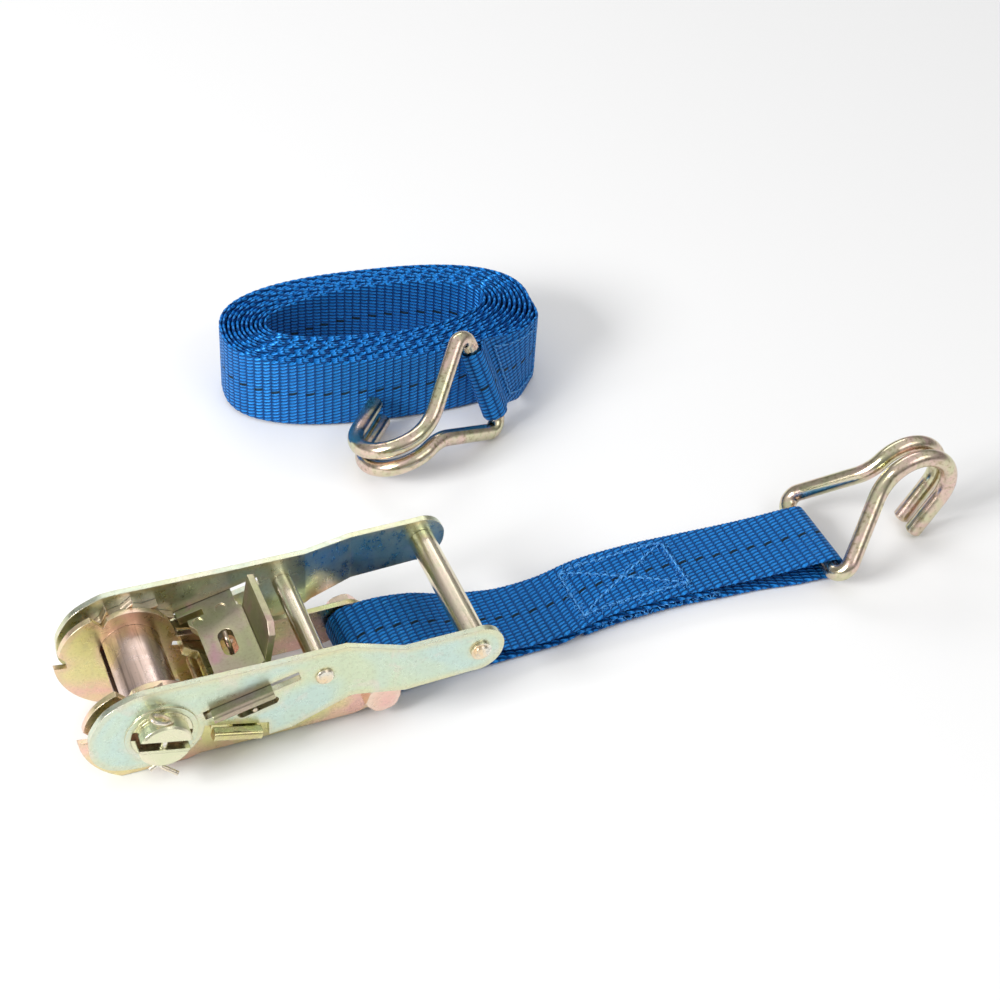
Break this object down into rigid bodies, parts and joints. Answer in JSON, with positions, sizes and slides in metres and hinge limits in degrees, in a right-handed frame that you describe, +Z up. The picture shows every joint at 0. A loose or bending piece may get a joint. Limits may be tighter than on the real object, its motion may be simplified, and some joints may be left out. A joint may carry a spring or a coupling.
{
  "type": "ratchet tie down",
  "caption": "Ratchet tie down: a lever buckle winds webbing on a slotted spindle, with a short strap and a rolled long strap, each ending in a double-wire hook.",
  "frame": {"origin": "middle of the object's box, on the surface it lies on", "axes": "+X runs along the buckle from the spindle to the short hook, +Y to the rear where the rolled strap lies, +Z up"},
  "size_m": [0.2972, 0.1932, 0.0406],
  "materials": {
    "yellow_zinc": "pressed steel, yellow zinc passivated, slightly iridescent",
    "bright_steel": "turned or rolled steel, pale zinc plated",
    "spring_wire": "spring steel wire, zinc plated",
    "hook_steel": "bent steel rod, glossy yellow zinc passivated",
    "webbing": "ribbed polyester webbing, royal blue with a dark tracer dash",
    "thread": "polyester sewing thread"
  },
  "bodies": {
    "frame": {"frame": "yellow_zinc", "anchor_bolt": "bright_steel", "anchor_nut": "bright_steel", "anchor_sleeve": "bright_steel"},
    "handle": {"handle_plate_front": "yellow_zinc", "handle_plate_rear": "yellow_zinc", "spacer_rod": "bright_steel", "spacer_sleeve": "bright_steel", "grip_rod": "bright_steel", "grip_sleeve": "bright_steel"},
    "spindle": {"mandrel_half_upper": "yellow_zinc", "mandrel_half_lower": "yellow_zinc", "ratchet_wheel_front_inner": "yellow_zinc", "ratchet_wheel_front_outer": "yellow_zinc", "ratchet_wheel_rear_inner": "yellow_zinc", "ratchet_wheel_rear_outer": "yellow_zinc", "split_pin_front": "bright_steel", "split_pin_rear": "bright_steel"},
    "handle_pawl": {"handle_pawl": "yellow_zinc", "handle_pawl_spring": "spring_wire"},
    "frame_pawl": {"frame_pawl": "yellow_zinc", "frame_pawl_spring": "spring_wire"},
    "short_strap": {"short_strap": "webbing", "short_strap_stitching": "thread"},
    "short_hook": {"short_hook": "hook_steel"},
    "long_strap": {"strap_coil": "webbing", "coil_tail": "webbing", "coil_tail_stitching": "thread"},
    "long_hook": {"long_hook": "hook_steel"}
  },
  "joints": [
    {"name": "handle_swing", "type": "hinge", "parent": "frame", "child": "handle", "pos_m": [-0.12591, -0.06886, 0.0197], "axis": [0, -1, 0], "range_deg": [0, 165]},
    {"name": "spindle_spin", "type": "hinge", "parent": "frame", "child": "spindle", "pos_m": [-0.12591, -0.06886, 0.0197], "axis": [0, -1, 0], "continuous": true},
    {"name": "handle_pawl_slide", "type": "slide", "parent": "handle", "child": "handle_pawl", "axis": [0.9724, 0, 0.2334], "range_m": [-0.0025, 0.003], "stiffness_N_per_m": 400},
    {"name": "frame_pawl_slide", "type": "slide", "parent": "frame", "child": "frame_pawl", "axis": [0.9613, 0, -0.2756], "range_m": [-0.0025, 0.002], "stiffness_N_per_m": 400},
    {"name": "short_strap_pivot", "type": "hinge", "parent": "frame", "child": "short_strap", "pos_m": [-0.05891, -0.06886, 0.0092], "axis": [0, -1, 0], "range_deg": [0, 10]},
    {"name": "short_hook_swing", "type": "hinge", "parent": "short_strap", "child": "short_hook", "pos_m": [0.09879, -0.06542, 0.00525], "axis": [0, -1, 0], "range_deg": [0, 75]},
    {"name": "long_strap_lift", "type": "slide", "parent": "frame", "child": "long_strap", "axis": [0, 0, 1], "range_m": [0, 0.06]},
    {"name": "long_hook_swing", "type": "hinge", "parent": "long_strap", "child": "long_hook", "pos_m": [0.01919, 0.03004, 0.02065], "axis": [-0.2908, 0.2389, 0.9265], "range_deg": [0, 60]}
  ]
}
